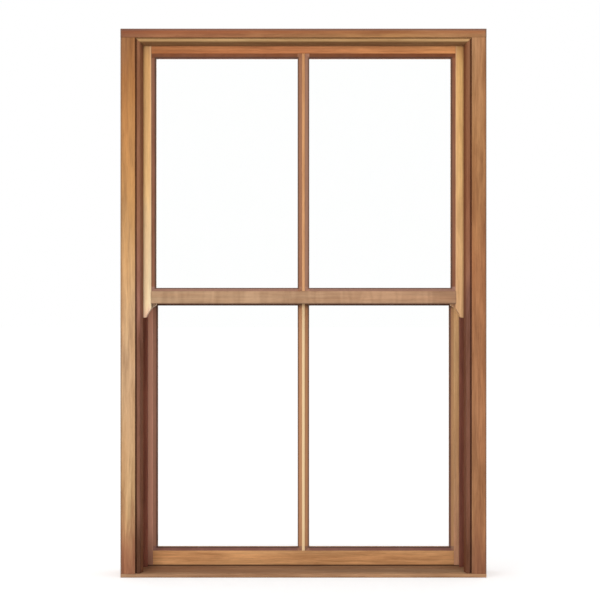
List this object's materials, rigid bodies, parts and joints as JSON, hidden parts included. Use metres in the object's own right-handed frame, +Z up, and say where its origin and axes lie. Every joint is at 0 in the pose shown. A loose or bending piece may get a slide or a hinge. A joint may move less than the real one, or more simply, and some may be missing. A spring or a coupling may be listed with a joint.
{
  "type": "sash window",
  "caption": "Clear-finished timber double-hung sash window in its frame, with sash horns, single glazing bars, spiral balances, key locks and brass lifts.",
  "frame": {"origin": "middle of the sill's flat underside, at half the frame's depth", "axes": "+X to the right seen from outside, +Y from the outer face towards the room, +Z up"},
  "size_m": [1, 0.145, 1.5],
  "materials": {
    "frame_timber": "satin clear finish",
    "stop_timber": "satin clear finish",
    "sash_timber": "satin clear finish",
    "bead_timber": "satin clear finish",
    "glass": "clear float",
    "steel": "zinc plated",
    "brass": "satin lacquered",
    "nylon": "natural nylon",
    "seal": "matt"
  },
  "bodies": {
    "frame": {"head": "frame_timber", "sill": "frame_timber", "jamb_left": "frame_timber", "jamb_right": "frame_timber", "outer_stop_head": "stop_timber", "outer_stop_left": "stop_timber", "outer_stop_right": "stop_timber", "parting_bead_head": "stop_timber", "parting_bead_left": "stop_timber", "parting_bead_right": "stop_timber", "inner_stop_head": "stop_timber", "inner_stop_sill": "stop_timber", "inner_stop_left": "stop_timber", "inner_stop_right": "stop_timber", "upper_balance_tube_left": "steel", "upper_balance_tube_right": "steel", "lower_balance_tube_left": "steel", "lower_balance_tube_right": "steel", "balance_springs": "steel", "tube_screws": "steel"},
    "upper_sash": {"upper_stile_left": "sash_timber", "upper_stile_right": "sash_timber", "upper_top_rail": "sash_timber", "upper_meeting_rail": "sash_timber", "upper_glazing_bar": "sash_timber", "upper_glass_left": "glass", "upper_glass_right": "glass", "upper_beads_left": "bead_timber", "upper_beads_right": "bead_timber", "upper_spiral_rod_left": "steel", "upper_spiral_rod_right": "steel", "upper_rod_foot_left": "steel", "upper_rod_foot_right": "steel", "lock_receiver_left": "brass", "lock_receiver_right": "brass"},
    "lower_sash": {"lower_stile_left": "sash_timber", "lower_stile_right": "sash_timber", "lower_meeting_rail": "sash_timber", "bottom_rail": "sash_timber", "lower_glazing_bar": "sash_timber", "lower_glass_left": "glass", "lower_glass_right": "glass", "lower_beads_left": "bead_timber", "lower_beads_right": "bead_timber", "lower_spiral_rod_left": "steel", "lower_spiral_rod_right": "steel", "lower_rod_foot_left": "steel", "lower_rod_foot_right": "steel", "lock_barrel_left": "brass", "lock_barrel_right": "brass", "sash_lift_left": "brass", "sash_lift_right": "brass", "meeting_rail_seal": "seal", "bottom_rail_seal": "seal"},
    "lock_left": {"lock_screw_left": "brass"},
    "lock_right": {"lock_screw_right": "brass"},
    "upper_bush_left": {"upper_balance_bush_left": "nylon"},
    "upper_bush_right": {"upper_balance_bush_right": "nylon"},
    "lower_bush_left": {"lower_balance_bush_left": "nylon"},
    "lower_bush_right": {"lower_balance_bush_right": "nylon"}
  },
  "joints": [
    {"name": "upper_sash_slide", "type": "slide", "parent": "frame", "child": "upper_sash", "axis": [0, 0, 1], "range_m": [-0.59, 0]},
    {"name": "lower_sash_slide", "type": "slide", "parent": "frame", "child": "lower_sash", "axis": [0, 0, 1], "range_m": [0, 0.59]},
    {"name": "lock_left_travel", "type": "slide", "parent": "lower_sash", "child": "lock_left", "axis": [0, -1, 0], "range_m": [0, 0.014]},
    {"name": "lock_right_travel", "type": "slide", "parent": "lower_sash", "child": "lock_right", "axis": [0, -1, 0], "range_m": [0, 0.014]},
    {"name": "upper_bush_left_spin", "type": "hinge", "parent": "frame", "child": "upper_bush_left", "pos_m": [-0.4518, -0.023, 0.84], "axis": [0, 0, 1], "range_deg": [0, 2130]},
    {"name": "upper_bush_right_spin", "type": "hinge", "parent": "frame", "child": "upper_bush_right", "pos_m": [0.4518, -0.023, 0.84], "axis": [0, 0, 1], "range_deg": [0, 2130]},
    {"name": "lower_bush_left_spin", "type": "hinge", "parent": "frame", "child": "lower_bush_left", "pos_m": [-0.4518, 0.029, 0.84], "axis": [0, 0, 1], "range_deg": [-2130, 0]},
    {"name": "lower_bush_right_spin", "type": "hinge", "parent": "frame", "child": "lower_bush_right", "pos_m": [0.4518, 0.029, 0.84], "axis": [0, 0, 1], "range_deg": [-2130, 0]}
  ],
  "couplings": [
    {"joint": "upper_bush_left_spin", "follows": "upper_sash_slide", "rad_per_m": -62.832},
    {"joint": "upper_bush_right_spin", "follows": "upper_sash_slide", "rad_per_m": -62.832},
    {"joint": "lower_bush_left_spin", "follows": "lower_sash_slide", "rad_per_m": -62.832},
    {"joint": "lower_bush_right_spin", "follows": "lower_sash_slide", "rad_per_m": -62.832}
  ]
}
